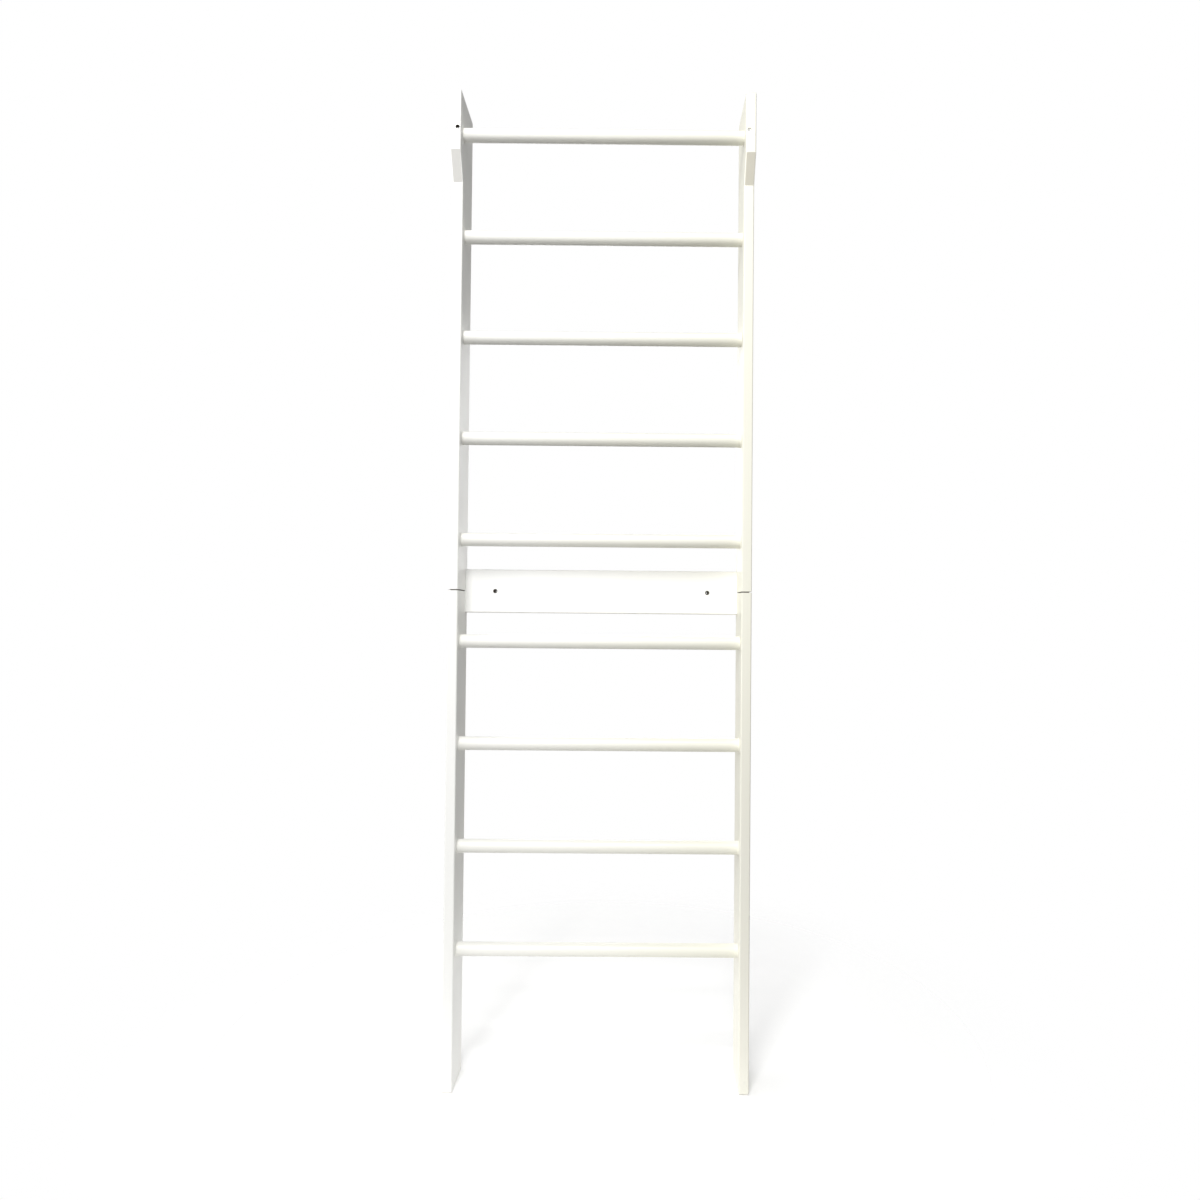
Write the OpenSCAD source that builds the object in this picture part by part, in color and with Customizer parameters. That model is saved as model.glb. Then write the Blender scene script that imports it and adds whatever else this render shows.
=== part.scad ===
// Tall white ladder rack for hanging quilts and blankets: two board stiles, each made in
// two sections, nine round rungs between them and a board across the middle of the back
// that is screwed to a wall. It stands on Z = 0. Its front faces -Y and its wall side +Y.
// The origin is on the floor, at the middle of the whole footprint.

/* [Overall] */
// Distance between the inner faces of the two stiles
inner_w = 521; // [460:1:800]
// Height of each lower stile section, from the floor to the joint
lower_h = 916; // [900:1:930]
// Height of each upper stile section, from the joint to the top of the head
upper_h = 916; // [890:1:960]

/* [Stiles] */
// Thickness of the board that a stile is cut from
stile_t = 19; // [18:0.5:25]
// Depth of a stile from its front edge to its wall edge
stile_d = 89; // [80:1:120]
// Radius of the eased long edges
edge_r = 2.5; // [1:0.5:4]
// Radius of the rounded corners at the foot
foot_r = 5; // [2:0.5:12]

/* [Head] */
// How far the head stands forward of the stile's front edge
head_out = 25; // [15:1:40]
// Height of the head's upright front edge
head_h = 112; // [100:1:125]
// Height of the slope that leads from the head back to the stile
slope_h = 49; // [30:1:60]
// Radius of the two corners at the top of the head
head_r = 4; // [2:0.5:12]

/* [Rungs] */
// Diameter of a rung
rung_d = 25; // [20:0.5:28]
// Length of rung that is let into each stile
tenon_l = 12; // [8:0.5:14]
// Distance from a front edge back to a rung's axis
rung_setback = 29; // [24:0.5:40]
// Height of the lowest rung's axis
bottom_rung_z = 251; // [230:1:260]
// Height from one rung to the next, below the head
rung_pitch = 190; // [185:1:192]
// Drop from the top of the head to the top rung's axis
top_rung_drop = 71; // [50:1:85]

/* [Wall board] */
// Height of the board
board_h = 83; // [70:1:100]
// Thickness of the board
board_t = 19; // [16:0.5:22]
// Distance between the two wall screw holes
wall_hole_spacing = 406.4; // [300:0.1:420]
// Diameter of the pilot hole that a wall screw is driven through
wall_hole_d = 2.5; // [2:0.1:5]
// Diameter of the counterbore that takes a wall screw's head
wall_bore_d = 8; // [7:0.5:12]
// Depth of that counterbore from the board's front face
wall_bore_deep = 10; // [4:0.5:13]

/* [Fasteners] */
// Diameter of a screw's shank
screw_d = 3.8; // [3.5:0.1:4.5]
// Diameter of a screw's head
screw_head_d = 7.5; // [7:0.1:8.5]
// Length of the screws that lock the top rung
head_screw_l = 32; // [28:1:34]
// Depth of the left locking screw below the head's front edge
left_screw_sink = 4; // [1:0.5:5]
// Depth of the right locking screw below the head's front edge
right_screw_sink = 1.5; // [1:0.5:5]
// Length of the screws that hold the board between the stiles
board_screw_l = 50; // [40:1:60]
// Depth of those screws below the stile's outer face
board_screw_sink = 0.6; // [0.2:0.1:1.5]
// Height of those screws above and below the joint
board_screw_rise = 22; // [16:1:30]
// Diameter of the dowel that lines up the two sections of a stile
dowel_d = 8; // [6:0.5:10]
// Length of that dowel
dowel_l = 40; // [30:1:60]

/* [Hidden] */
$fn = 64;

// Rungs are numbered from the top. The heads carry rung 1, and the upper sections the first five.
rung_count = 9;
upper_rung_count = 5;

// Radial room around a rung, screw or dowel in its hole
fit_gap = 0.05;
// Room left beyond the end of a rung, screw or dowel in its hole
end_gap = 0.5;
// How far a cutting shape runs past the face that it cuts
past = 1;

// Left and right sides, as seen from the front
LEFT = -1;
RIGHT = 1;

// Screw head proportions
screw_rim = 0.5;
screw_cone = 2.4;
screw_tip = 5;
slot_w = 1.1;
slot_l = 4.4;
slot_deep = 1.7;
dowel_chamfer = 1;

seam_z = lower_h;
top_z = lower_h + upper_h;
crease_z = top_z - head_h;
slope_z = crease_z - slope_h;

inner_x = inner_w / 2;
stile_mid_x = inner_x + stile_t / 2;
outer_x = inner_x + stile_t;
tenon_mid_x = inner_x + tenon_l / 2;

back_y = (stile_d + head_out) / 2;
stile_y = back_y - stile_d;
head_y = stile_y - head_out;
board_mid_y = back_y - board_t / 2;

function rung_y(i) = (i == 1 ? head_y : stile_y) + rung_setback;
function rung_z(i) = i == 1 ? top_z - top_rung_drop : bottom_rung_z + (rung_count - i) * rung_pitch;

// Draws its children, made for the right side, on the given side.
module on_side(side) {
    if (side == LEFT) mirror([1, 0, 0]) children();
    else children();
}

// Turns an outline drawn in depth and height into a slab across the ladder's width.
module across(x, width) {
    translate([x, 0, 0]) rotate([90, 0, 90]) linear_extrude(width) children();
}

// Rectangle with one radius on all four corners, from its lowest corner.
module round_rectangle(size, r) {
    translate([r, 0]) square([size.x - 2 * r, size.y]);
    translate([0, r]) square([size.x, size.y - 2 * r]);
    for (x = [r, size.x - r], y = [r, size.y - r]) translate([x, y]) circle(r);
}

// Upright bar with eased long edges, the thickness of a stile, from one depth to the wall side.
module eased_bar(front_y, z, height) {
    translate([inner_x, front_y, z])
        linear_extrude(height) round_rectangle([stile_t, back_y - front_y], edge_r);
}

// What is cut from a square corner to round it, with the round's centre at the origin.
module corner_waste(r) {
    difference() {
        square(r + past);
        circle(r);
    }
}

// Side outline of a lower section: square at the joint, round at the foot.
module lower_outline() {
    difference() {
        translate([stile_y, 0]) square([stile_d, lower_h]);
        translate([stile_y + foot_r, foot_r]) rotate(180) corner_waste(foot_r);
        translate([back_y - foot_r, foot_r]) rotate(270) corner_waste(foot_r);
    }
}

// Side outline of an upper section, with the head and the slope under it.
module upper_outline() {
    difference() {
        polygon([
            [back_y, seam_z], [stile_y, seam_z], [stile_y, slope_z],
            [head_y, crease_z], [head_y, top_z], [back_y, top_z]
        ]);
        translate([head_y + head_r, top_z - head_r]) rotate(90) corner_waste(head_r);
        translate([back_y - head_r, top_z - head_r]) corner_waste(head_r);
    }
}

// Hole that takes the end of rung i in a right-hand stile.
module rung_socket(i) {
    translate([inner_x - past, rung_y(i), rung_z(i)]) rotate([0, 90, 0])
        cylinder(d = rung_d + 2 * fit_gap, h = tenon_l + end_gap + past);
}

// Countersunk wood screw along Z, with the top of its head at Z = 0 and its tip down.
module wood_screw(length) {
    difference() {
        rotate_extrude() polygon([
            [0, 0], [screw_head_d / 2, 0], [screw_head_d / 2, -screw_rim],
            [screw_d / 2, -screw_cone], [screw_d / 2, screw_tip - length], [0, -length]
        ]);
        for (turn = [0, 90]) rotate(turn)
            translate([-slot_l / 2, -slot_w / 2, -slot_deep]) cube([slot_l, slot_w, slot_deep + past]);
    }
}

// Hole for that screw, with the head sunk below the surface that it is driven into.
module screw_hole(length, sink) {
    head_hole_d = screw_head_d + 2 * fit_gap;
    shank_hole_d = screw_d + 2 * fit_gap;
    translate([0, 0, -screw_rim]) cylinder(d = head_hole_d, h = screw_rim + sink + past);
    translate([0, 0, -screw_cone]) cylinder(d1 = shank_hole_d, d2 = head_hole_d, h = screw_cone - screw_rim);
    translate([0, 0, -length - end_gap]) cylinder(d = shank_hole_d, h = length + end_gap - screw_cone);
}

// Puts its children, made along Z, where a locking screw enters the right-hand head.
module at_head_screw(sink) {
    translate([tenon_mid_x, head_y + sink, rung_z(1)]) rotate([90, 0, 0]) children();
}

// Puts its children, made along Z, where a board screw enters the right-hand stile.
module at_board_screw(level) {
    translate([outer_x - board_screw_sink, board_mid_y, seam_z + level * board_screw_rise])
        rotate([0, 90, 0]) children();
}

// Hole for the seam dowel, open on both sides of the joint.
module dowel_hole() {
    translate([stile_mid_x, stile_y + rung_setback, seam_z - dowel_l / 2 - end_gap])
        cylinder(d = dowel_d + 2 * fit_gap, h = dowel_l + 2 * end_gap);
}

module lower_stile(side) {
    color("white") on_side(side) difference() {
        intersection() {
            across(inner_x, stile_t) lower_outline();
            eased_bar(stile_y, 0, lower_h);
        }
        for (i = [upper_rung_count + 1 : rung_count]) rung_socket(i);
        at_board_screw(-1) screw_hole(board_screw_l, board_screw_sink);
        dowel_hole();
    }
}

module upper_stile(side, screw_sink) {
    color("white") on_side(side) difference() {
        intersection() {
            across(inner_x, stile_t) upper_outline();
            union() {
                eased_bar(stile_y, seam_z, upper_h);
                eased_bar(head_y, slope_z, top_z - slope_z);
            }
        }
        for (i = [1 : upper_rung_count]) rung_socket(i);
        at_head_screw(screw_sink) screw_hole(head_screw_l, screw_sink);
        at_board_screw(1) screw_hole(board_screw_l, board_screw_sink);
        dowel_hole();
    }
}

module rung(i) {
    length = inner_w + 2 * tenon_l;
    color("ivory") difference() {
        translate([-length / 2, rung_y(i), rung_z(i)]) rotate([0, 90, 0]) cylinder(d = rung_d, h = length);
        if (i == 1) {
            on_side(LEFT) at_head_screw(left_screw_sink) screw_hole(head_screw_l, left_screw_sink);
            on_side(RIGHT) at_head_screw(right_screw_sink) screw_hole(head_screw_l, right_screw_sink);
        }
    }
}

module wall_board() {
    color("ghostwhite") difference() {
        across(-inner_x, inner_w)
            translate([back_y - board_t, seam_z - board_h / 2]) round_rectangle([board_t, board_h], edge_r);
        for (side = [LEFT, RIGHT]) translate([side * wall_hole_spacing / 2, back_y - board_t, seam_z])
            rotate([-90, 0, 0]) {
                translate([0, 0, -past]) cylinder(d = wall_bore_d, h = wall_bore_deep + past);
                cylinder(d = wall_hole_d, h = board_t + past);
            }
        for (side = [LEFT, RIGHT], level = [-1, 1])
            on_side(side) at_board_screw(level) screw_hole(board_screw_l, board_screw_sink);
    }
}

module head_screw(side, sink) {
    color("gainsboro") on_side(side) at_head_screw(sink) wood_screw(head_screw_l);
}

module board_screw(side, level) {
    color("gainsboro") on_side(side) at_board_screw(level) wood_screw(board_screw_l);
}

module seam_dowel(side) {
    r = dowel_d / 2;
    color("burlywood") on_side(side)
        translate([stile_mid_x, stile_y + rung_setback, seam_z - dowel_l / 2]) rotate_extrude() polygon([
            [0, 0], [r - dowel_chamfer, 0], [r, dowel_chamfer],
            [r, dowel_l - dowel_chamfer], [r - dowel_chamfer, dowel_l], [0, dowel_l]
        ]);
}

lower_stile(LEFT);  // left_lower_stile
lower_stile(RIGHT);  // right_lower_stile
upper_stile(LEFT, left_screw_sink);  // left_upper_stile
upper_stile(RIGHT, right_screw_sink);  // right_upper_stile
for (i = [1 : rung_count]) rung(i);
wall_board();
head_screw(LEFT, left_screw_sink);  // left_head_screw
head_screw(RIGHT, right_screw_sink);  // right_head_screw
board_screw(LEFT, 1);  // left_upper_board_screw
board_screw(LEFT, -1);  // left_lower_board_screw
board_screw(RIGHT, 1);  // right_upper_board_screw
board_screw(RIGHT, -1);  // right_lower_board_screw
seam_dowel(LEFT);  // left_seam_dowel
seam_dowel(RIGHT);  // right_seam_dowel
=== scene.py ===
"""White-painted ladder rack for quilts: two jointed side boards, nine rungs and a wall board.

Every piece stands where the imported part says, in metres, with the front of the rack towards -Y.
"""

import logging
import math
from collections.abc import Callable, Iterable, Mapping, Sequence
from dataclasses import dataclass, field
from enum import Enum
from typing import Any, ClassVar

import bmesh
import bpy
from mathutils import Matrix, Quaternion, Vector


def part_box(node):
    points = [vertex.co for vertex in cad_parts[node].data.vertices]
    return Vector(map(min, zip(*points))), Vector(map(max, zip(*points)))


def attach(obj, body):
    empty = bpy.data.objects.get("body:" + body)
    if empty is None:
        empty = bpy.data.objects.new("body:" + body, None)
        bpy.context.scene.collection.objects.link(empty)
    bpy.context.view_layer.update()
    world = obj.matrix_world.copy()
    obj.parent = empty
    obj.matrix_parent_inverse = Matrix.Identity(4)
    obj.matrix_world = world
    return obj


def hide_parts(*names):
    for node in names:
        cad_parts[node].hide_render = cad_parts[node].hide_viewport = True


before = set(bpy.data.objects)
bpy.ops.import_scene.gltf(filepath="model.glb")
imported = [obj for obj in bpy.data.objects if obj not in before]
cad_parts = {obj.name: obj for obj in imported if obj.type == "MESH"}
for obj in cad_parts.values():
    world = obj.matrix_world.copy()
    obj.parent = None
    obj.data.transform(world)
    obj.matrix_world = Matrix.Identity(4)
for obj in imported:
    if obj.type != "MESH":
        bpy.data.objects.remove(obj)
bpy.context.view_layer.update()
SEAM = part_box("left_lower_stile")[1].z

LOG = logging.getLogger("ladder")

Point = tuple[float, float]
Colour = tuple[float, float, float]
Place = tuple[float, float, float]
Mesh = bmesh.types.BMesh

MM = 0.001
WHITE = (1.0, 1.0, 1.0, 1.0)
BODY = "root"
FINISHED = "_finished"
FORWARD, UPWARD, RIGHTWARD = Vector((0, 1, 0)), Vector((0, 0, 1)), Vector((1, 0, 0))
SAME = 1e-6


class Side(Enum):
    """A side of the rack as seen from the front, with the sign of its X."""

    LEFT = -1
    RIGHT = 1

    @property
    def word(self) -> str:
        """The word that the node names start with."""
        return self.name.lower()


class Level(Enum):
    """The half of a side board, with the sign of its height from the joint."""

    LOWER = -1
    UPPER = 1

    @property
    def word(self) -> str:
        """The word that the node names hold."""
        return self.name.lower()


class Slot(Enum):
    """The record's material slots."""

    PAINT = "white_painted_wood"
    SCREW = "painted_screw"
    DOWEL = "dowel_wood"


# ---------------------------------------------------------------- finishes


class Sock:
    """An output socket of a node tree that can be used in sums."""

    def __init__(self, tree: "Tree", socket: bpy.types.NodeSocket) -> None:
        """Wraps a socket.

        Args:
            tree: The tree that new Math nodes go in.
            socket: The output socket.
        """
        self.tree = tree
        self.socket = socket

    def _math(self, operation: str, *values: "float | Sock") -> "Sock":
        """Adds one Math node.

        Args:
            operation: The node's operation.
            values: What goes into its sockets, in order.

        Returns:
            The node's result.
        """
        return self.tree.out("ShaderNodeMath", {"operation": operation}, dict(enumerate(values)))

    def __add__(self, other: "float | Sock") -> "Sock":
        """Returns self + other."""
        return self._math("ADD", self, other)

    __radd__ = __add__

    def __sub__(self, other: "float | Sock") -> "Sock":
        """Returns self - other."""
        return self._math("SUBTRACT", self, other)

    def __rsub__(self, other: "float | Sock") -> "Sock":
        """Returns other - self."""
        return self._math("SUBTRACT", other, self)

    def __mul__(self, other: "float | Sock") -> "Sock":
        """Returns self * other."""
        return self._math("MULTIPLY", self, other)

    __rmul__ = __mul__

    def __abs__(self) -> "Sock":
        """Returns the size of self without its sign."""
        return self._math("ABSOLUTE", self)

    def larger(self, other: "float | Sock") -> "Sock":
        """Returns the larger of the two values."""
        return self._math("MAXIMUM", self, other)

    def ramp(self, start: float, end: float) -> "Sock":
        """Rises smoothly from 0 to 1.

        Args:
            start: The value that gives 0.
            end: The value that gives 1. It may be the lower of the two.

        Returns:
            The smooth mask.
        """
        return self.tree.out(
            "ShaderNodeMapRange",
            {"interpolation_type": "SMOOTHSTEP"},
            {"Value": self, "From Min": start, "From Max": end},
        )


class Tree:
    """The node tree of a material or of the world."""

    def __init__(self, owner: bpy.types.Material | bpy.types.World) -> None:
        """Empties the owner's node tree and takes it over."""
        owner.use_nodes = True
        self.nodes = owner.node_tree.nodes
        self.links = owner.node_tree.links
        self.nodes.clear()

    def node(
        self,
        kind: str,
        settings: Mapping[str, Any] | None = None,
        inputs: Mapping[int | str, Any] | None = None,
    ) -> bpy.types.Node:
        """Adds any node.

        Args:
            kind: The node's type.
            settings: Properties of the node, set before its sockets.
            inputs: Values or sockets for the node's inputs, by name or by number.

        Returns:
            The new node.
        """
        made = self.nodes.new(kind)
        for name, value in (settings or {}).items():
            setattr(made, name, value)
        for name, value in (inputs or {}).items():
            if isinstance(value, Sock):
                self.links.new(value.socket, made.inputs[name])
            else:
                made.inputs[name].default_value = value
        return made

    def out(
        self,
        kind: str,
        settings: Mapping[str, Any] | None = None,
        inputs: Mapping[int | str, Any] | None = None,
        output: int | str = 0,
    ) -> Sock:
        """Adds any node and returns one of its outputs.

        Args:
            kind: The node's type.
            settings: As in node().
            inputs: As in node().
            output: The output's name or number.

        Returns:
            The output, ready for sums.
        """
        return Sock(self, self.node(kind, settings, inputs).outputs[output])

    def mix(self, factor: float | Sock, first: Colour | Sock, second: Colour | Sock) -> Sock:
        """Mixes two colours.

        Args:
            factor: 0 for the first, 1 for the second.
            first: A colour or a socket that gives one.
            second: The same.

        Returns:
            The mixed colour.
        """
        ends = [c if isinstance(c, Sock) else (*c, 1.0) for c in (first, second)]
        return self.out(
            "ShaderNodeMix", {"data_type": "RGBA"}, {0: factor, 6: ends[0], 7: ends[1]}, 2
        )

    def place(self) -> Sock:
        """Returns the point's place in the rack's frame, in metres."""
        return self.out("ShaderNodeTexCoord", output="Object")

    def parts(self, vector: Sock) -> tuple[Sock, Sock, Sock]:
        """Splits a vector into its X, Y and Z."""
        made = self.node("ShaderNodeSeparateXYZ", inputs={0: vector})
        return Sock(self, made.outputs[0]), Sock(self, made.outputs[1]), Sock(self, made.outputs[2])

    def stretched(self, stretch: Sequence[float]) -> Sock:
        """Returns the point's place, scaled by a number along each axis."""
        return self.out(
            "ShaderNodeVectorMath",
            {"operation": "MULTIPLY"},
            {0: self.place(), 1: tuple(stretch)},
        )

    def noise(self, vector: Sock, scale: float, detail: float = 2.0, rough: float = 0.5) -> Sock:
        """Adds a cloudy pattern.

        Args:
            vector: Where the pattern is read.
            scale: How many patches there are to a metre.
            detail: How many finer layers it has.
            rough: How strong the finer layers are.

        Returns:
            A value from 0 to 1.
        """
        inputs = {"Vector": vector, "Scale": scale, "Detail": detail, "Roughness": rough}
        return self.out("ShaderNodeTexNoise", inputs=inputs)

    def surface(self, **inputs: Any) -> None:
        """Ends the tree with one Principled surface.

        Args:
            inputs: The shader's sockets, with an underscore for each space in a name.
        """
        named = {name.replace("_", " "): value for name, value in inputs.items()}
        named = {n: (*v, 1.0) if isinstance(v, tuple) else v for n, v in named.items()}
        shader = self.out("ShaderNodeBsdfPrincipled", inputs=named)
        self.node("ShaderNodeOutputMaterial", inputs={"Surface": shader})

    def relief(self, layers: Iterable[tuple[Sock, float]]) -> Sock:
        """Stacks Bump nodes.

        Args:
            layers: Height patterns from 0 to 1, each with its depth in metres.

        Returns:
            The bumped normal.
        """
        below: dict[str, Sock] = {}
        for height, depth in layers:
            inputs = {"Height": height, "Distance": depth, "Strength": 1.0, **below}
            below = {"Normal": self.out("ShaderNodeBump", inputs=inputs)}
        return below["Normal"]


class Grain(Enum):
    """The way that the grain runs, with the pattern's stretch along X, Y and Z."""

    UPRIGHT = (1.0, 1.0, 0.03)
    LEVEL = (0.03, 1.0, 1.0)


@dataclass(frozen=True)
class WhitePaint:
    """Brushed satin white paint over smooth wood."""

    name: ClassVar[str] = "white_paint"
    grain: ClassVar[Grain] = Grain.UPRIGHT
    white: Colour = (0.90, 0.898, 0.872)
    # darker cream that the paint turns towards the right of the rack: painted shade
    right_shade_cream: Colour = (0.835, 0.822, 0.715)
    grey: Colour = (0.60, 0.58, 0.54)
    # tan that worn and shaded places turn to at the upper right: painted warm shade
    tan: Colour = (0.61, 0.56, 0.45)
    raw: Colour = (0.15, 0.12, 0.09)
    right_shade_and_tone: float = 1.6
    patchy: float = 0.55
    raised: float = 0.06
    roughness: float = 0.42
    worn_rough: float = 0.15
    polish: float = 0.10
    bare_rough: float = 0.35
    streak_depth: float = 0.035 * MM
    grain_depth: float = 0.07 * MM
    nib_depth: float = 0.08 * MM

    def wear_and_shade(self, tree: Tree) -> Sock | None:
        """Returns a mask of where the paint is worn, darkened or given painted shade, or None for a
        clean coat.
        """
        return None

    def gloss(self, tree: Tree) -> Sock | None:
        """Returns a mask of where hands and cloth have polished the paint, or None."""
        return None

    def bare(self, tree: Tree) -> Sock | None:
        """Returns a mask of where the brush never reached, or None."""
        return None

    def material(self) -> bpy.types.Material:
        """Makes the material.

        Returns:
            The material, with brush marks, raised grain, dust nibs, random patches of tone and
            painted shade that turns it a darker cream towards the right of the rack.
        """
        made = bpy.data.materials.new(self.name)
        tree = Tree(made)
        along = tree.stretched(self.grain.value)
        streaks = tree.noise(along, 1500.0, 3.0, 0.6)
        grain = tree.noise(along, 260.0, 4.0, 0.55)
        cloud = tree.noise(tree.place(), 4.0, 3.0, 0.5)
        across, _, height = tree.parts(tree.place())
        # painted shade growing towards the right (+X), away from the light on the left, plus random
        # patches of tone
        right_shade_and_tone = across * self.right_shade_and_tone + self.patchy * (cloud - 0.5)
        nibs = tree.noise(tree.place(), 420.0, 1.0).ramp(0.73, 0.80)
        colour = tree.mix(right_shade_and_tone.ramp(-0.5, 0.55), self.white, self.right_shade_cream)
        colour = tree.mix(grain.ramp(0.62, 0.80) * self.raised, colour, self.grey)
        rough = self.roughness + 0.16 * (streaks - 0.5) + 0.10 * (cloud - 0.5)
        wear_and_shade = self.wear_and_shade(tree)
        if wear_and_shade is not None:
            # painted warm shade: the marks turn from grey to tan towards the right and high up
            right_top_warm_shade = right_shade_and_tone.ramp(0.0, 0.4) * height.ramp(0.6, 1.4)
            colour = tree.mix(wear_and_shade, colour, tree.mix(right_top_warm_shade, self.grey, self.tan))
            rough = rough + self.worn_rough * wear_and_shade
        gloss = self.gloss(tree)
        if gloss is not None:
            rough = rough - self.polish * gloss
        bare = self.bare(tree)
        if bare is not None:
            colour = tree.mix(bare, colour, self.raw)
            rough = rough + self.bare_rough * bare
        heights = [
            (grain, self.grain_depth),
            (streaks, self.streak_depth),
            (nibs, self.nib_depth),
        ]
        tree.surface(Base_Color=colour, Roughness=rough, IOR=1.5, Normal=tree.relief(heights))
        return made


@dataclass(frozen=True)
class StilePaint(WhitePaint):
    """Paint on a side board, thin on its edges and scuffed low down, with painted shade on faces
    that look down and on the lower right.
    """

    name: ClassVar[str] = "stile_paint"
    scuff_top: float = 70 * MM
    worn: Point = (0.14, 0.26)
    rubbed: float = 0.30
    scuffed: float = 0.22
    down_facing_shade_strength: float = 0.50
    low_right_shade_strength: float = 0.31
    line_w: float = 0.9 * MM
    line_fade: Point = (0.25 * MM, 0.05 * MM)
    line_dark: float = 0.9

    def wear_and_shade(self, tree: Tree) -> Sock:
        """Returns the rubbed edges, the scuffs, the painted shade on faces that look down and the
        painted shade low on the right.
        """
        facing = tree.parts(tree.out("ShaderNodeNewGeometry", output="Normal"))
        sizes = [abs(part) for part in facing]
        largest = sizes[0].larger(sizes[1]).larger(sizes[2])
        edge = (1.0 - largest).ramp(*self.worn)
        rubs = tree.noise(tree.place(), 38.0, 4.0, 0.62)
        across, _, height = tree.parts(tree.place())
        scuffs = tree.noise(tree.place(), 90.0, 3.0, 0.6).ramp(0.56, 0.72)
        low = height.ramp(self.scuff_top, 0.0)
        # painted shade: faces that look down, such as the slope under the head, are greyed
        down_facing_shade = facing[2].ramp(-0.25, -0.40) * (0.85 + 0.3 * rubs)
        # painted shade: greyer low down on the right of the rack, where less light falls
        low_right_shade = across.ramp(0.0, 0.25) * height.ramp(1.0, 0.35)
        wear = self.rubbed * edge * rubs.ramp(0.54, 0.68) + self.scuffed * low * scuffs
        return wear + self.down_facing_shade_strength * down_facing_shade + self.low_right_shade_strength * low_right_shade

    def bare(self, tree: Tree) -> Sock:
        """Returns the inside of the open line at the joint."""
        rise = abs(tree.parts(tree.place())[2] - SEAM)
        return self.line_dark * rise.ramp(*(self.line_w + past for past in self.line_fade))


@dataclass(frozen=True)
class BoardPaint(StilePaint):
    """Paint on the wall board, thin on its eased edges, in a lighter white than the side boards:
    painted light that lifts the board out of the shade behind the rungs and side boards.
    """

    name: ClassVar[str] = "board_paint"
    grain: ClassVar[Grain] = Grain.LEVEL
    # lighter white and cream than the side boards: painted light on the board
    white: Colour = (0.955, 0.955, 0.935)
    right_shade_cream: Colour = (0.945, 0.935, 0.870)
    low_right_shade_strength: float = 0.0

    def bare(self, tree: Tree) -> None:
        """Returns None: the brush reached the whole board."""


@dataclass(frozen=True)
class RungPaint(WhitePaint):
    """Paint on a rung, polished on top by cloth, and darker in the angle at each end."""

    name: ClassVar[str] = "rung_paint"
    grain: ClassVar[Grain] = Grain.LEVEL
    white: Colour = (0.905, 0.898, 0.852)
    half_span: float = 260 * MM
    end_darkening_run: float = 7 * MM
    end_darkening: float = 0.22

    def wear_and_shade(self, tree: Tree) -> Sock:
        """Returns the darkening near both ends."""
        out = abs(tree.parts(tree.place())[0])
        near = out.ramp(self.half_span - self.end_darkening_run, self.half_span)
        return self.end_darkening * near * tree.noise(tree.place(), 120.0, 3.0, 0.6).ramp(0.35, 0.65)

    def gloss(self, tree: Tree) -> Sock:
        """Returns the upper side of the rung."""
        normal = tree.out("ShaderNodeNewGeometry", output="Normal")
        return tree.parts(normal)[2].ramp(0.2, 0.9)


@dataclass(frozen=True)
class BareBore:
    """Raw wood inside a drilled hole, darkened well past bare wood: painted shade in the hole."""

    name: ClassVar[str] = "shaded_bare_bore"
    # very dark brown: painted shade inside the hole, on top of the tone of bare wood
    pale: Colour = (0.20, 0.165, 0.125)
    dark: Colour = (0.07, 0.055, 0.04)

    def material(self) -> bpy.types.Material:
        """Makes the material.

        Returns:
            The material, with rings left by the drill.
        """
        made = bpy.data.materials.new(self.name)
        tree = Tree(made)
        rings = tree.noise(tree.stretched((0.2, 1.0, 0.2)), 2400.0, 3.0, 0.6)
        fibres = tree.noise(tree.place(), 900.0, 4.0, 0.6)
        tree.surface(
            Base_Color=tree.mix(0.5 * rings + 0.5 * fibres, self.dark, self.pale),
            Roughness=0.80 + 0.15 * (fibres - 0.5),
            Normal=tree.relief([(rings, 0.15 * MM), (fibres, 0.1 * MM)]),
        )
        return made


@dataclass(frozen=True)
class DowelWood:
    """Bare beech of a jointing dowel."""

    name: ClassVar[str] = "dowel_wood"
    pale: Colour = (0.72, 0.54, 0.35)
    dark: Colour = (0.47, 0.31, 0.17)

    def material(self) -> bpy.types.Material:
        """Makes the material.

        Returns:
            The material, with upright grain and short flecks.
        """
        made = bpy.data.materials.new(self.name)
        tree = Tree(made)
        grain = tree.noise(tree.stretched((1.0, 1.0, 0.05)), 700.0, 4.0, 0.6)
        flecks = tree.noise(tree.stretched((1.0, 1.0, 0.25)), 1600.0, 2.0).ramp(0.60, 0.72)
        tree.surface(
            Base_Color=tree.mix(0.8 * grain + 0.35 * flecks, self.pale, self.dark),
            Roughness=0.62 + 0.2 * (grain - 0.5),
            Normal=tree.relief([(grain, 0.06 * MM), (flecks, 0.04 * MM)]),
        )
        return made


@dataclass(frozen=True)
class PaintedSteel:
    """White paint over a zinc-plated screw, chipped back to metal in small spots."""

    name: str = "painted_steel"
    paint: Colour = (0.80, 0.795, 0.775)
    steel: Colour = (0.42, 0.41, 0.40)
    chips_from: float = 0.62
    chip_edge: float = 0.04

    def material(self) -> bpy.types.Material:
        """Makes the material.

        Returns:
            The material, with chips that show the metal.
        """
        made = bpy.data.materials.new(self.name)
        tree = Tree(made)
        flaking = tree.noise(tree.place(), 900.0, 4.0, 0.65)
        chips = flaking.ramp(self.chips_from, self.chips_from + self.chip_edge)
        skin = tree.noise(tree.place(), 500.0, 2.0)
        tree.surface(
            Base_Color=tree.mix(chips, self.paint, self.steel),
            Metallic=chips,
            Roughness=0.45 + 0.12 * (skin - 0.5) - 0.10 * chips,
            Normal=tree.relief([(skin, 0.05 * MM), (1.0 - chips, 0.06 * MM)]),
        )
        return made


Finish = WhitePaint | BareBore | DowelWood | PaintedSteel

# ---------------------------------------------------------------- mesh work


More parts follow.
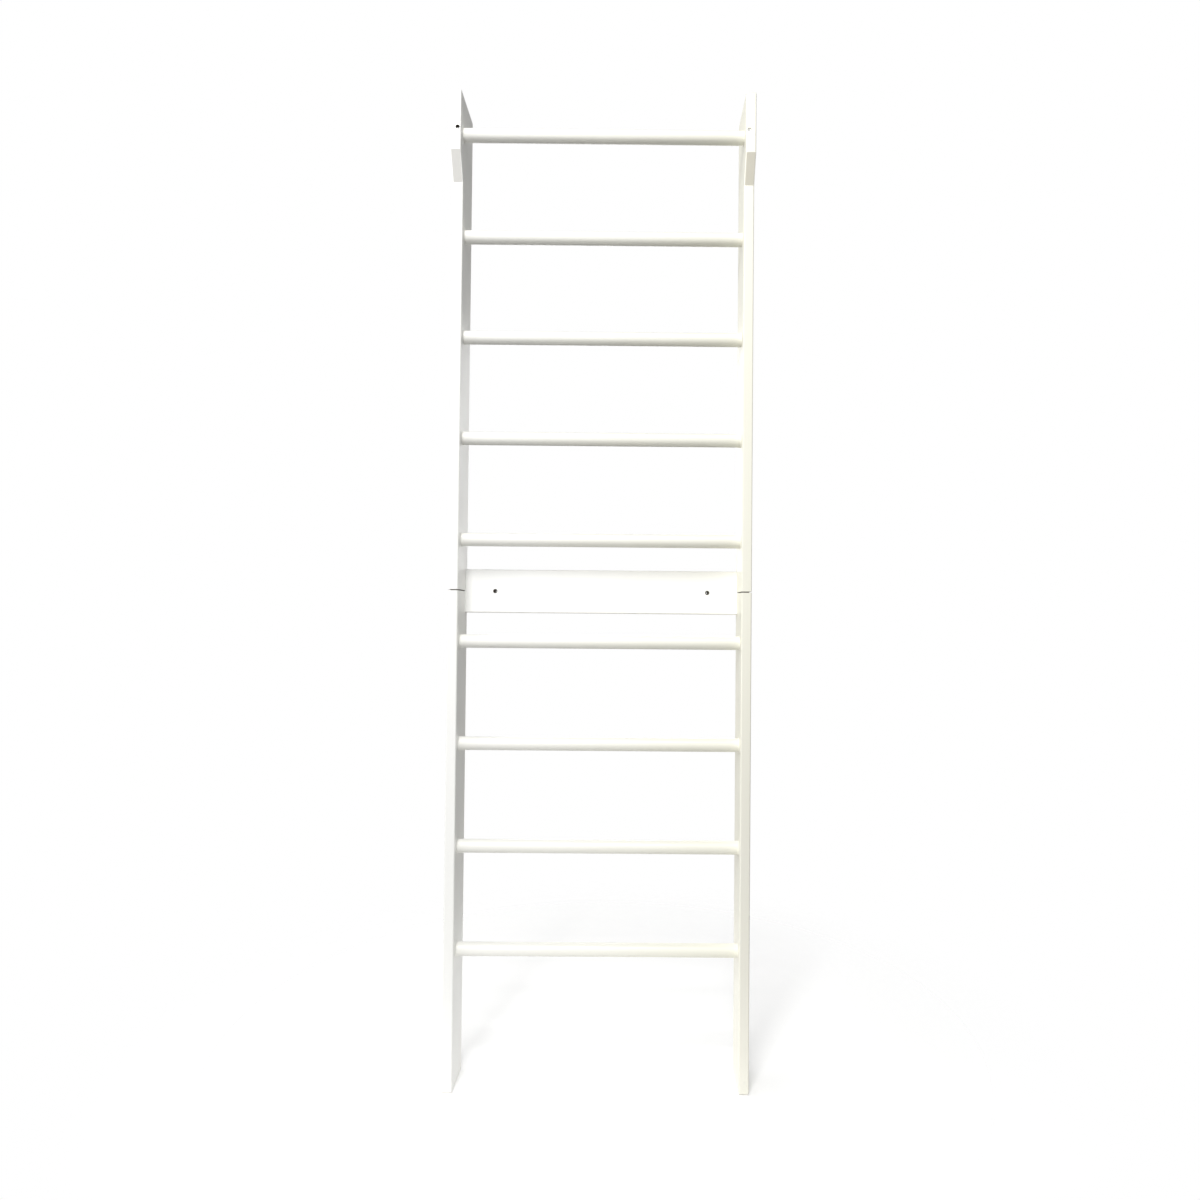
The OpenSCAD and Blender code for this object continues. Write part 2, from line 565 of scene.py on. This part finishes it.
def arc(centre: Point, radius: float, start: float, end: float, steps: int) -> list[Point]:
    """Lists points on an arc.

    Args:
        centre: The arc's centre.
        radius: Its radius.
        start: The angle of its first point, in degrees.
        end: The angle of its last point.
        steps: How many straight pieces it has.

    Returns:
        The points, both ends included.
    """
    turns = [math.radians(start + (end - start) * step / steps) for step in range(steps + 1)]
    return [(centre[0] + radius * math.cos(t), centre[1] + radius * math.sin(t)) for t in turns]


def slab(outline: Sequence[Point], low_x: float, high_x: float) -> Mesh:
    """Extrudes an outline drawn in depth and height across the rack's width.

    Args:
        outline: The outline's (Y, Z) points.
        low_x: Where the slab starts.
        high_x: Where it ends.

    Returns:
        A closed mesh.
    """
    made = bmesh.new()
    sides = [[made.verts.new((x, y, z)) for y, z in outline] for x in (low_x, high_x)]
    made.faces.new(sides[0])
    made.faces.new(reversed(sides[1]))
    for here, after in zip(range(len(outline)), (*range(1, len(outline)), 0)):
        made.faces.new((sides[0][here], sides[0][after], sides[1][after], sides[1][here]))
    bmesh.ops.recalc_face_normals(made, faces=made.faces)
    return made


def ease(
    mesh: Mesh, wanted: Callable[[bmesh.types.BMEdge], bool], radius: float, steps: int
) -> None:
    """Rounds the edges that a test picks.

    Args:
        mesh: The mesh to change.
        wanted: Says whether an edge is rounded.
        radius: The radius of the round.
        steps: How many strips it has.
    """
    edges = [edge for edge in mesh.edges if wanted(edge)]
    settings = {"profile": 0.5, "affect": "EDGES", "clamp_overlap": True}
    bmesh.ops.bevel(mesh, geom=edges, offset=radius, segments=steps, **settings)


@dataclass
class Lathe:
    """Turns profiles round an axis."""

    origin: Vector
    axis: Vector
    sides: int = 48

    def turn(
        self, profile: Sequence[Point], groove: Callable[[int], float] | None = None
    ) -> Mesh:
        """Turns one profile.

        Args:
            profile: (Distance along the axis, radius) points. It starts and ends on the axis.
            groove: Gives how far the radius shrinks at each step round the axis.

        Returns:
            A closed mesh.
        """
        made = bmesh.new()
        turned = self.axis.to_track_quat("Z", "Y").to_matrix()
        rings = []
        for along, radius in profile:
            ring = []
            for step in range(self.sides if radius else 1):
                angle = 2 * math.pi * step / self.sides
                reach = radius - (groove(step) if groove and radius else 0.0)
                flat = Vector((reach * math.cos(angle), reach * math.sin(angle), along))
                ring.append(made.verts.new(self.origin + turned @ flat))
            rings.append(ring)
        for low, high in zip(rings, rings[1:]):
            for here in range(self.sides):
                after = (here + 1) % self.sides
                corners = (
                    low[here % len(low)],
                    low[after % len(low)],
                    high[after % len(high)],
                    high[here % len(high)],
                )
                made.faces.new(tuple(dict.fromkeys(corners)))
        bmesh.ops.recalc_face_normals(made, faces=made.faces)
        return made


def as_object(name: str, mesh: Mesh) -> bpy.types.Object:
    """Makes an object of a mesh in progress.

    Args:
        name: The object's name.
        mesh: The mesh, which is used up.

    Returns:
        The object, in the scene.
    """
    data = bpy.data.meshes.new(name)
    mesh.to_mesh(data)
    mesh.free()
    made = bpy.data.objects.new(name, data)
    bpy.context.scene.collection.objects.link(made)
    return made


def carve(piece: bpy.types.Object, cutters: Sequence[Mesh]) -> None:
    """Cuts shapes out of a piece.

    Args:
        piece: The piece, whose mesh is replaced.
        cutters: Closed meshes, which are used up.
    """
    tools = [as_object(f"cutter_{number}", cutter) for number, cutter in enumerate(cutters)]
    for tool in tools:
        cut = piece.modifiers.new(tool.name, "BOOLEAN")
        cut.operation, cut.solver, cut.object = "DIFFERENCE", "EXACT", tool
    bpy.context.view_layer.update()
    whole = piece.evaluated_get(bpy.context.evaluated_depsgraph_get())
    old, piece.data = piece.data, bpy.data.meshes.new_from_object(whole)
    piece.modifiers.clear()
    piece.data.name = piece.name
    bpy.data.meshes.remove(old)
    for tool in tools:
        bpy.data.meshes.remove(tool.data)


@dataclass(frozen=True)
class Bench:
    """Dresses finished pieces and mounts them on the rack."""

    finishes: dict[Finish, bpy.types.Material] = field(default_factory=dict)
    sharp: float = math.radians(24)
    skin: float = 0.1 * MM

    def material(self, finish: Finish) -> bpy.types.Material:
        """Returns the finish's one material, made when it is first asked for."""
        if finish not in self.finishes:
            self.finishes[finish] = finish.material()
        return self.finishes[finish]

    def shade_bare_hole(
        self, piece: bpy.types.Object, mouth: Vector, inward: Vector, radius: float
    ) -> None:
        """Gives the inside of a drilled hole bare wood darkened with painted shade.

        Args:
            piece: The piece, already mounted.
            mouth: The middle of the hole's mouth.
            inward: The way that it was drilled.
            radius: Its widest radius.
        """
        piece.data.materials.append(self.material(BareBore()))
        for face in piece.data.polygons:
            reach = face.center - mouth
            depth = reach.dot(inward)
            within = (reach - depth * inward).length < radius + self.skin
            if depth > self.skin and within:
                face.material_index = len(piece.data.materials) - 1

    def mount(
        self, piece: bpy.types.Object, node: str, finish: Finish
    ) -> bpy.types.Object:
        """Shades, paints and mounts a piece in place of a node of the part.

        Args:
            piece: The piece, in place.
            node: The node that it stands for.
            finish: Its main finish.

        Returns:
            The piece.
        """
        piece.data.materials.clear()
        piece.data.materials.append(self.material(finish))
        piece.data.shade_smooth()
        piece.data.set_sharp_from_angle(angle=self.sharp)
        normals = piece.modifiers.new("flat_faces", "WEIGHTED_NORMAL")
        normals.keep_sharp = True
        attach(piece, BODY)
        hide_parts(node)
        LOG.info("%s: %d faces", piece.name, len(piece.data.polygons))
        return piece


# ---------------------------------------------------------------- screws and dowels


@dataclass(frozen=True)
class WoodScrew:
    """Countersunk screw with a cross recess, and the hole that it sits in."""

    node: str
    inward: Vector
    finish: PaintedSteel = PaintedSteel()
    head_r: float = 3.75 * MM
    shank_r: float = 1.9 * MM
    rim: float = 0.5 * MM
    cone: float = 2.4 * MM
    tip: float = 5 * MM
    soft: float = 0.15 * MM
    recess_r: float = 2.2 * MM
    recess_w: float = 1.1 * MM
    recess_deep: float = 1.7 * MM
    recess_top: float = 1.15
    recess_foot: float = 0.55
    gap: float = 0.05 * MM
    end_gap: float = 0.5 * MM

    @property
    def length(self) -> float:
        """The screw's length."""
        low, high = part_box(self.node)
        return abs((high - low).dot(self.inward))

    @property
    def top(self) -> Vector:
        """The middle of the head's outer face."""
        low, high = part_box(self.node)
        return (low + high) / 2 - self.inward * self.length / 2

    def hole(self, mouth: float) -> Mesh:
        """Makes the cutter for the screw's hole.

        Args:
            mouth: How far the hole runs out from the top of the head.

        Returns:
            The cutter.
        """
        head, shank = self.head_r + self.gap, self.shank_r + self.gap
        profile = [
            (-mouth, 0.0),
            (-mouth, head),
            (self.rim, head),
            (self.cone, shank),
            (self.length + self.end_gap, shank),
            (self.length + self.end_gap, 0.0),
        ]
        return Lathe(self.top, self.inward).turn(profile)

    def build(self) -> bpy.types.Object:
        """Turns the screw and cuts its recess.

        Returns:
            The screw.
        """
        profile = [
            (0.0, 0.0),
            (0.0, self.head_r - self.soft),
            (self.soft, self.head_r),
            (self.rim, self.head_r),
            (self.cone, self.shank_r),
            (self.length - self.tip, self.shank_r),
            (self.length, 0.0),
        ]
        piece = as_object(self.node + FINISHED, Lathe(self.top, self.inward).turn(profile))
        carve(piece, [self.recess(angle) for angle in (0.0, math.pi / 2)])
        return piece

    def recess(self, angle: float) -> Mesh:
        """Makes the cutter for one arm of the cross.

        Args:
            angle: The arm's turn about the screw.

        Returns:
            A bar that narrows towards its lower end.
        """
        made = bmesh.new()
        bmesh.ops.create_cube(made, size=1.0)
        turned = self.inward.to_track_quat("Z", "Y") @ Quaternion(UPWARD, angle)
        for vert in made.verts:
            narrow = self.recess_foot if vert.co.z > 0 else self.recess_top
            size = Vector((2 * self.recess_r * narrow, self.recess_w, 2 * self.recess_deep))
            vert.co = self.top + turned @ Vector([a * b for a, b in zip(vert.co, size)])
        return made

    def add_to(self, bench: Bench) -> None:
        """Builds the screw and mounts it."""
        bench.mount(self.build(), self.node, self.finish)


@dataclass(frozen=True)
class SeamDowel:
    """Fluted dowel that lines up the two halves of a side board."""

    side: Side
    finish: DowelWood = DowelWood()
    chamfer: float = 1.0 * MM
    flute_deep: float = 0.35 * MM
    flutes: int = 16
    per_flute: int = 4
    gap: float = 0.05 * MM
    end_gap: float = 0.5 * MM

    @property
    def node(self) -> str:
        """The dowel's node."""
        return f"{self.side.word}_seam_dowel"

    @property
    def foot(self) -> Vector:
        """The middle of the dowel's lower end."""
        low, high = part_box(self.node)
        return Vector(((low.x + high.x) / 2, (low.y + high.y) / 2, low.z))

    def flute(self, step: int) -> float:
        """Returns how deep the flutes are at a step round the dowel."""
        return self.flute_deep if step % self.per_flute == 0 else 0.0

    def hole(self) -> Mesh:
        """Returns the cutter for the dowel's hole, on both sides of the joint."""
        low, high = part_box(self.node)
        radius, start = (high.x - low.x) / 2 + self.gap, -self.end_gap
        end = high.z - low.z + self.end_gap
        profile = [(start, 0.0), (start, radius), (end, radius), (end, 0.0)]
        return Lathe(self.foot, UPWARD).turn(profile)

    def add_to(self, bench: Bench) -> None:
        """Turns the dowel, flutes it and mounts it."""
        low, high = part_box(self.node)
        radius, length = (high.x - low.x) / 2, high.z - low.z
        profile = [
            (0.0, 0.0),
            (0.0, radius - self.chamfer),
            (self.chamfer, radius),
            (length - self.chamfer, radius),
            (length, radius - self.chamfer),
            (length, 0.0),
        ]
        lathe = Lathe(self.foot, UPWARD, self.flutes * self.per_flute)
        shape = lathe.turn(profile, self.flute)
        bench.mount(as_object(self.node + FINISHED, shape), self.node, self.finish)


# ---------------------------------------------------------------- wooden pieces


@dataclass(frozen=True)
class Rung:
    """Round rung with a tenon at each end and a bead of paint where it meets the side boards."""

    number: int
    screws: tuple[WoodScrew, ...] = ()
    finish: RungPaint = RungPaint()
    sides: int = 56
    chamfer: float = 0.8 * MM
    bead: float = 1.1 * MM
    bead_gap: float = 0.02 * MM
    bead_steps: int = 4
    stations: int = 10
    gap: float = 0.05 * MM
    end_gap: float = 0.5 * MM

    @property
    def node(self) -> str:
        """The rung's node."""
        return f"rung_{self.number}"

    def half_profile(self, half: float, radius: float, shoulder: float) -> list[Point]:
        """Draws the profile from the middle of the rung to one end.

        Args:
            half: Half the rung's length.
            radius: Its radius.
            shoulder: The distance from the middle to the side board's inner face.

        Returns:
            (Distance from the middle, radius) points, outward.
        """
        foot = shoulder - self.bead_gap
        run = (foot - self.bead) / self.stations
        straight = [(run * step, radius) for step in range(1, self.stations)]
        fillet = arc((foot - self.bead, radius + self.bead), self.bead, 270, 360, self.bead_steps)
        tenon = [(foot, radius), (half - self.chamfer, radius), (half, radius - self.chamfer)]
        return [*straight, *fillet, *tenon, (half, 0.0)]

    def add_to(self, bench: Bench) -> None:
        """Turns the rung and mounts it."""
        low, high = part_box(self.node)
        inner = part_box("right_lower_stile")[0].x
        outward = self.half_profile((high.x - low.x) / 2, (high.z - low.z) / 2, inner)
        profile = [(-along, radius) for along, radius in reversed(outward)]
        profile += [(0.0, (high.z - low.z) / 2), *outward]
        lathe = Lathe((low + high) / 2, RIGHTWARD, self.sides)
        piece = as_object(self.node + FINISHED, lathe.turn(profile))
        if self.screws:
            carve(piece, [screw.hole(0.0) for screw in self.screws])
        bench.mount(piece, self.node, self.finish)

    def socket(self, side: Side) -> Mesh:
        """Makes the cutter for the rung's hole in a side board.

        Args:
            side: The side board.

        Returns:
            The cutter, from the middle of the rung outward.
        """
        low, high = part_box(self.node)
        radius, reach = (high.z - low.z) / 2 + self.gap, (high.x - low.x) / 2 + self.end_gap
        profile = [(0.0, 0.0), (0.0, radius), (reach, radius), (reach, 0.0)]
        return Lathe((low + high) / 2, side.value * RIGHTWARD, self.sides).turn(profile)


@dataclass(frozen=True)
class StileSection:
    """Half of a side board. Its joint end has a narrow open line all round."""

    side: Side
    level: Level
    rungs: tuple[Rung, ...]
    screws: tuple[WoodScrew, ...]
    dowel: SeamDowel
    finish: StilePaint = StilePaint()
    edge_r: float = 2.5 * MM
    edge_steps: int = 5
    foot_r: float = 5 * MM
    head_r: float = 4 * MM
    head_h: float = 112 * MM
    slope_h: float = 49 * MM
    corner_steps: int = 6
    line_deep: float = 4.5 * MM
    line_past: float = 1 * MM
    hole_mouth: float = 10 * MM
    deep_hole: float = 3 * MM
    joint_r: float = 0.3 * MM

    @property
    def node(self) -> str:
        """The section's node."""
        return f"{self.side.word}_{self.level.word}_stile"

    def outline(self) -> list[Point]:
        """Draws the section's side outline.

        Returns:
            (Y, Z) points, up the front and down the back.
        """
        low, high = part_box(self.node)
        if self.level is Level.LOWER:
            top, r = high.z, self.foot_r
            foot = arc((high.y - r, low.z + r), r, 360, 270, self.corner_steps)
            toe = arc((low.y + r, low.z + r), r, 270, 180, self.corner_steps)
            return [*toe, (low.y, top), (high.y, top), *foot]
        front, bottom, crease, r = self.front, low.z, high.z - self.head_h, self.head_r
        brow = arc((low.y + r, high.z - r), r, 180, 90, self.corner_steps)
        crown = arc((high.y - r, high.z - r), r, 90, 0, self.corner_steps)
        slope = [(front, bottom), (front, crease - self.slope_h), (low.y, crease)]
        return [*slope, *brow, *crown, (high.y, bottom)]

    def build(self) -> bpy.types.Object:
        """Cuts the section to shape, eases its edges and bores its holes.

        Returns:
            The section.
        """
        low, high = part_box(self.node)
        shape = slab(self.outline(), low.x, high.x)
        ease(shape, self.along_side, self.edge_r, self.edge_steps)
        piece = as_object(self.node + FINISHED, shape)
        cutters = [rung.socket(self.side) for rung in self.rungs]
        cutters += [screw.hole(self.hole_mouth) for screw in self.screws]
        carve(piece, [*cutters, self.dowel.hole(), self.joint_line()])
        return piece

    def along_side(self, edge: bmesh.types.BMEdge) -> bool:
        """Says whether an edge runs round one of the two broad faces, but not at the joint."""
        ends = [vert.co for vert in edge.verts]
        at_joint = all(abs(end.z - SEAM) < SAME for end in ends)
        return abs(ends[0].x - ends[1].x) < SAME and not at_joint

    def joint_line(self) -> Mesh:
        """Makes the cutter for the open line round the joint end.

        Returns:
            A square ring that flares outward, a little wider than the section.
        """
        low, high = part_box(self.node)
        past, away = self.line_past, self.level.value
        depth, end = self.line_deep, SEAM + away * self.finish.line_w
        lip, beyond = end + away * (self.joint_r + past), SEAM - away * past
        # (inset from the section's faces, height): the ring's own outline, in order
        outline = [
            (depth, beyond),
            (depth, end),
            (self.joint_r, end),
            (-past, lip),
            (-past, beyond),
        ]
        made = bmesh.new()
        corners = []
        for x, y, in_x, in_y in (
            (low.x, self.front, 1, 1),
            (high.x, self.front, -1, 1),
            (high.x, high.y, -1, -1),
            (low.x, high.y, 1, -1),
        ):
            ring = [(x + in_x * inset, y + in_y * inset, height) for inset, height in outline]
            corners.append([made.verts.new(place) for place in ring])
        for here, after in zip(corners, (*corners[1:], corners[0])):
            for low_step in range(len(outline)):
                high_step = (low_step + 1) % len(outline)
                face = (here[low_step], after[low_step], after[high_step], here[high_step])
                made.faces.new(face)
        bmesh.ops.recalc_face_normals(made, faces=made.faces)
        return made

    @property
    def front(self) -> float:
        """The depth of the section's front edge below the head."""
        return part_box(f"{self.side.word}_lower_stile")[0].y

    def add_to(self, bench: Bench) -> None:
        """Builds the section, mounts it and gives the deeper screw hole in its front bare wood
        darkened with painted shade.
        """
        piece = bench.mount(self.build(), self.node, self.finish)
        for screw in self.screws:
            mouth = Vector((screw.top.x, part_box(self.node)[0].y, screw.top.z))
            if (screw.top - mouth).dot(screw.inward) > self.deep_hole:
                bench.shade_bare_hole(piece, mouth, screw.inward, screw.head_r)


@dataclass(frozen=True)
class WallBoard:
    """Board across the back, with two counterbored holes for wall screws."""

    screws: tuple[WoodScrew, ...]
    finish: BoardPaint = BoardPaint()
    edge_r: float = 2.5 * MM
    edge_steps: int = 5
    end_gap: float = 0.05 * MM
    hole_spacing: float = 406.4 * MM
    hole_r: float = 1.25 * MM
    bore_r: float = 4 * MM
    bore_deep: float = 10 * MM
    past: float = 1 * MM
    node: ClassVar[str] = "wall_board"

    def hole_mouth(self, side: Side) -> Vector:
        """Returns the middle of a wall hole's mouth."""
        low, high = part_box(self.node)
        return Vector((side.value * self.hole_spacing / 2, low.y, (low.z + high.z) / 2))

    def wall_hole(self, side: Side) -> Mesh:
        """Makes the cutter for a wall hole.

        Args:
            side: The hole's side.

        Returns:
            The cutter, wide at the front and narrow behind.
        """
        low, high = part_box(self.node)
        through = high.y - low.y + self.past
        profile = [
            (-self.past, 0.0),
            (-self.past, self.bore_r),
            (self.bore_deep, self.bore_r),
            (self.bore_deep, self.hole_r),
            (through, self.hole_r),
            (through, 0.0),
        ]
        return Lathe(self.hole_mouth(side), FORWARD).turn(profile)

    @staticmethod
    def runs_along(edge: bmesh.types.BMEdge) -> bool:
        """Says whether an edge runs along the board."""
        return abs(edge.verts[0].co.x - edge.verts[1].co.x) > SAME

    def build(self) -> bpy.types.Object:
        """Cuts the board, eases its long edges and bores its holes.

        Returns:
            The board.
        """
        low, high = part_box(self.node)
        outline = [(low.y, low.z), (low.y, high.z), (high.y, high.z), (high.y, low.z)]
        shape = slab(outline, low.x + self.end_gap, high.x - self.end_gap)
        ease(shape, self.runs_along, self.edge_r, self.edge_steps)
        piece = as_object(self.node + FINISHED, shape)
        carve(piece, [*map(self.wall_hole, Side), *(screw.hole(0.0) for screw in self.screws)])
        return piece

    def add_to(self, bench: Bench) -> None:
        """Builds the board, mounts it and gives the inside of its wall holes bare wood darkened
        with painted shade.
        """
        piece = bench.mount(self.build(), self.node, self.finish)
        for side in Side:
            bench.shade_bare_hole(piece, self.hole_mouth(side), FORWARD, self.bore_r)


# ---------------------------------------------------------------- studio


@dataclass(frozen=True)
class SoftBox:
    """Square soft light, aimed at a point on the rack."""

    name: str
    place: Place
    size: float
    watts: float
    aim: Place = (0.0, 0.0, 0.95)

    def add(self) -> None:
        """Hangs the light. The camera doesn't see it."""
        light = bpy.data.lights.new(self.name, "AREA")
        light.shape, light.size = "SQUARE", self.size
        light.energy = self.watts
        made = bpy.data.objects.new(self.name, light)
        made.location = self.place
        made.rotation_mode = "QUATERNION"
        made.rotation_quaternion = (Vector(self.aim) - made.location).to_track_quat("-Z", "Y")
        made.visible_camera = False
        bpy.context.scene.collection.objects.link(made)


@dataclass(frozen=True)
class Studio:
    """White room, brighter on the left, with a pale floor and three soft lights."""

    eye: Place = (0.0644, -1.6172, 0.8688)
    yaw: float = 0.256
    pitch: float = 1.124
    roll: float = 0.493
    lens: float = 25.896
    sensor: float = 36.0
    shift_x: float = -0.0322
    floor_r: float = 1.1
    floor_back: float = 0.25
    floor_gap: float = 0.2 * MM
    floor_fade: Point = (0.35, 1.0)
    floor_colour: Colour = (0.90, 0.90, 0.895)
    floor_glow: float = 0.21
    left_light: float = 2.1
    middle_light: float = 0.20
    right_light: float = 0.75
    low_light: float = 0.14
    top_loss: float = 0.7
    lights: tuple[SoftBox, ...] = (
        SoftBox("key", (-0.3, -2.2, 3.3), 0.9, 70.0),
        SoftBox("fill", (-0.3, -2.0, 1.0), 0.7, 11.5),
        SoftBox("rear", (0.0, 2.6, 1.6), 1.2, 15.0),
    )

    def add_camera(self) -> None:
        """Sets up the camera."""
        data = bpy.data.cameras.new("camera")
        data.lens, data.sensor_width, data.shift_x = self.lens, self.sensor, self.shift_x
        camera = bpy.data.objects.new("camera", data)
        yaw, pitch, roll = map(math.radians, (self.yaw, self.pitch, self.roll))
        level = Vector((math.sin(yaw), math.cos(yaw), 0.0)) * math.cos(pitch)
        ahead = level + UPWARD * math.sin(pitch)
        camera.location = self.eye
        camera.rotation_mode = "QUATERNION"
        camera.rotation_quaternion = ahead.to_track_quat("-Z", "Y") @ Quaternion(UPWARD, roll)
        bpy.context.scene.collection.objects.link(camera)
        bpy.context.scene.camera = camera

    def add_world(self) -> None:
        """Makes the room: plain white to look at, and softer as a light."""
        world = bpy.data.worlds.new("room")
        bpy.context.scene.world = world
        tree = Tree(world)
        x, _, z = tree.parts(tree.out("ShaderNodeTexCoord", output="Generated"))
        across = self.middle_light + (self.left_light - self.middle_light) * x.ramp(0.0, -0.9)
        across = across + (self.right_light - self.middle_light) * x.ramp(0.0, 0.9)
        upward = self.low_light + (1.0 - self.low_light) * z.ramp(-0.4, 0.3)
        upward = upward * (1.0 - self.top_loss * z.ramp(0.3, 0.9))
        seen = tree.out("ShaderNodeLightPath", output="Is Camera Ray")
        room = tree.out("ShaderNodeBackground", inputs={0: WHITE, 1: across * upward})
        backdrop = tree.out("ShaderNodeBackground", inputs={0: WHITE, 1: 1.0})
        both = tree.out("ShaderNodeMixShader", inputs={0: seen, 1: room, 2: backdrop})
        tree.node("ShaderNodeOutputWorld", inputs={"Surface": both})

    def add_floor(self) -> None:
        """Lays a round pale floor that fades into the room."""
        made = bmesh.new()
        bmesh.ops.create_circle(made, cap_ends=True, radius=self.floor_r, segments=96)
        floor = as_object("floor", made)
        floor.location = (0.0, self.floor_back, -self.floor_gap)
        material = bpy.data.materials.new("floor")
        tree = Tree(material)
        away = tree.out("ShaderNodeVectorMath", {"operation": "LENGTH"}, {0: tree.place()}, "Value")
        grit = tree.noise(tree.place(), 300.0, 3.0)
        shader = tree.out(
            "ShaderNodeBsdfPrincipled",
            inputs={
                "Base Color": (*self.floor_colour, 1.0),
                "Roughness": 0.6 + 0.1 * grit,
                "Emission Color": WHITE,
                "Emission Strength": self.floor_glow,
                "Normal": tree.relief([(grit, 0.05 * MM)]),
            },
        )
        clear = tree.out("ShaderNodeBsdfTransparent")
        both = tree.out(
            "ShaderNodeMixShader", inputs={0: away.ramp(*self.floor_fade), 1: shader, 2: clear}
        )
        tree.node("ShaderNodeOutputMaterial", inputs={"Surface": both})
        floor.data.materials.append(material)

    def build(self) -> None:
        """Sets up the whole studio."""
        bpy.context.scene.view_settings.view_transform = "Standard"
        self.add_camera()
        self.add_world()
        self.add_floor()
        for light in self.lights:
            light.add()


# ---------------------------------------------------------------- the rack


def main() -> None:
    """Builds the studio and the rack, piece by piece."""
    logging.basicConfig(level=logging.INFO, format="%(name)s: %(message)s")
    LOG.info("%d nodes of the part to stand for", len(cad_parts))
    Studio().build()
    bench = Bench()
    # the left head screw is nearly all bare steel of a dark tone: chipped paint, darkened as
    # painted shade for its deeper recess
    worn = PaintedSteel("shaded_bare_steel", steel=(0.22, 0.215, 0.21), chips_from=0.32)
    head_finishes = {Side.LEFT: worn, Side.RIGHT: PaintedSteel()}
    head_screws = {
        side: WoodScrew(f"{side.word}_head_screw", FORWARD, head_finishes[side]) for side in Side
    }
    board_screws = {
        (side, level): WoodScrew(
            f"{side.word}_{level.word}_board_screw", -side.value * RIGHTWARD
        )
        for side in Side
        for level in Level
    }
    dowels = {side: SeamDowel(side) for side in Side}
    rungs = [Rung(1, tuple(head_screws.values())), *(Rung(number) for number in range(2, 10))]
    for side in Side:
        for level in Level:
            held = tuple(r for r in rungs if (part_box(r.node)[0].z - SEAM) * level.value > 0)
            screws = [board_screws[side, level]]
            if level is Level.UPPER:
                screws.append(head_screws[side])
            StileSection(side, level, held, tuple(screws), dowels[side]).add_to(bench)
    WallBoard(tuple(board_screws.values())).add_to(bench)
    for part in (*rungs, *head_screws.values(), *board_screws.values(), *dowels.values()):
        part.add_to(bench)


if __name__ == "__main__":
    main()
